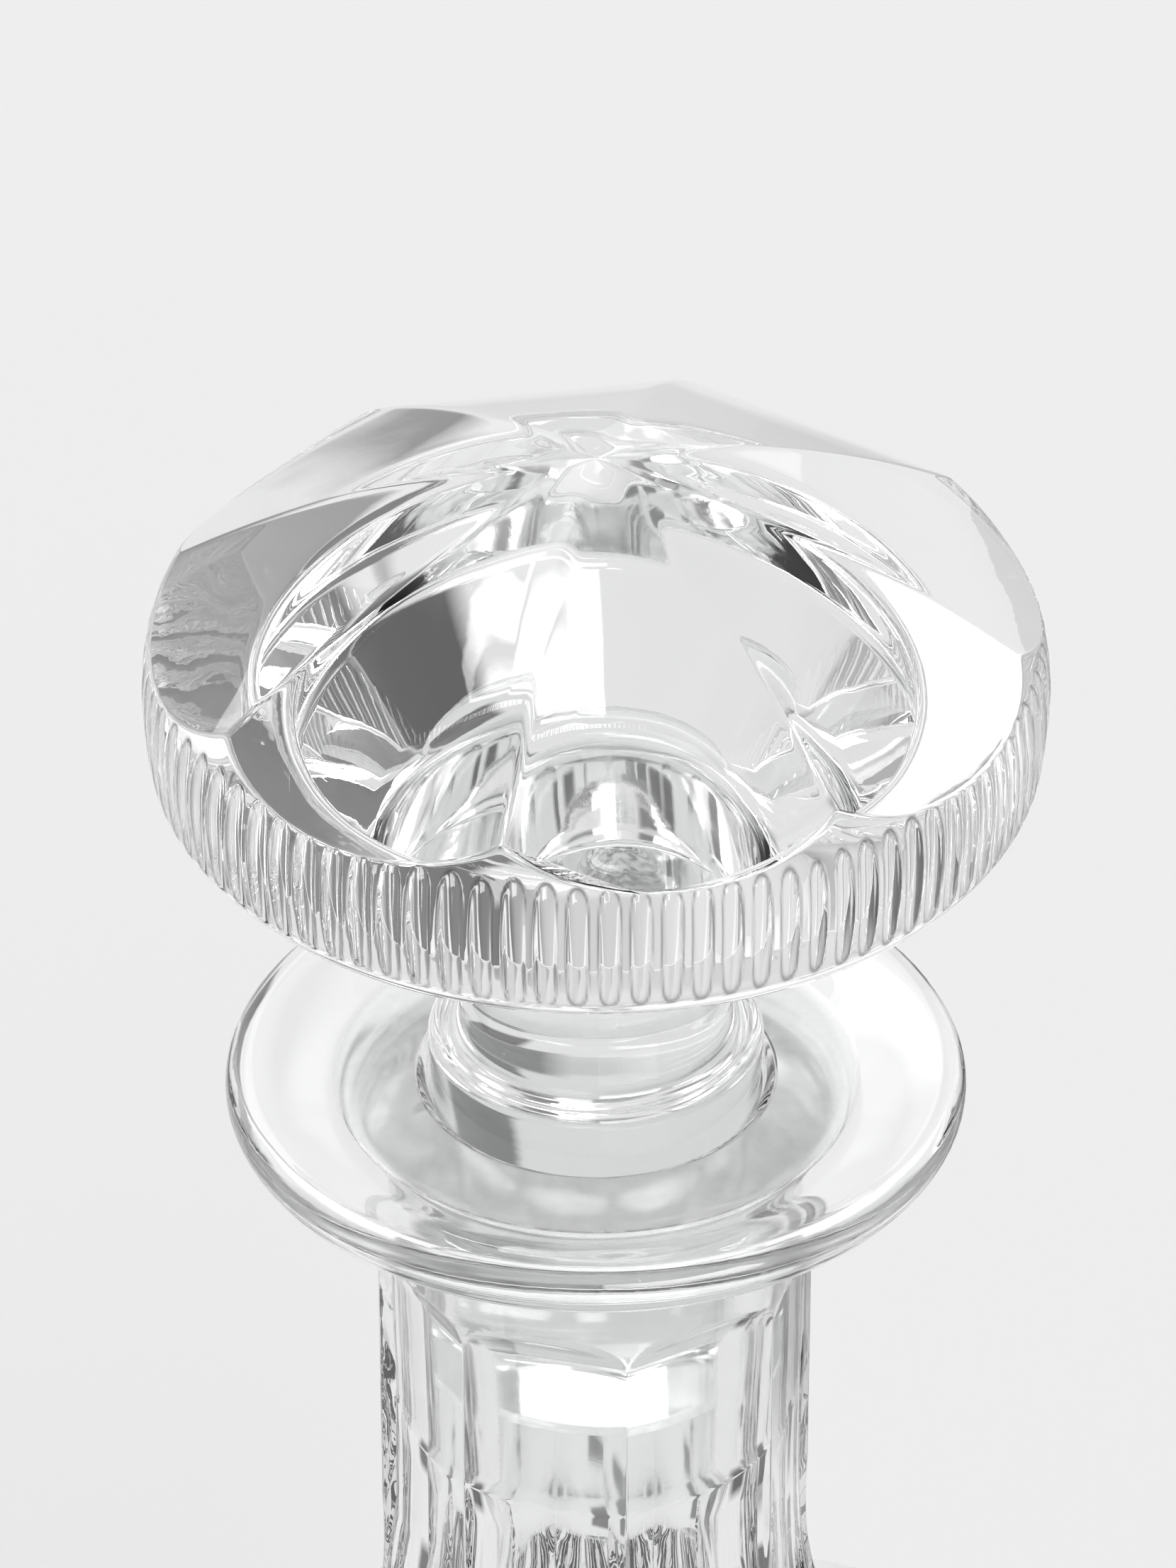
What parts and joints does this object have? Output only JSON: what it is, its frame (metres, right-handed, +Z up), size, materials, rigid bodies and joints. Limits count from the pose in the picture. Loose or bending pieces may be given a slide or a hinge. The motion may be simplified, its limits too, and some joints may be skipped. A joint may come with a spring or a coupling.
{
  "type": "glass decanter",
  "caption": "Clear cut-glass decanter with panelled neck, wide rounded lip and a lift-out mushroom stopper with a faceted dome and fluted edge.",
  "frame": {"origin": "centre of the bottle's flat base, on the surface it stands on", "axes": "+Z up along the bottle's axis through the stopper; -Y is the front and +X is to the right of someone facing the front"},
  "size_m": [0.104, 0.104, 0.269],
  "materials": {
    "bottle_glass": "polished clear crystal",
    "stopper_glass": "polished clear crystal"
  },
  "bodies": {
    "bottle": {"bottle": "bottle_glass"},
    "stopper": {"stopper": "stopper_glass"}
  },
  "joints": [
    {"name": "stopper_lift", "type": "slide", "parent": "bottle", "child": "stopper", "axis": [0, 0, 1], "range_m": [0, 0.045]}
  ]
}
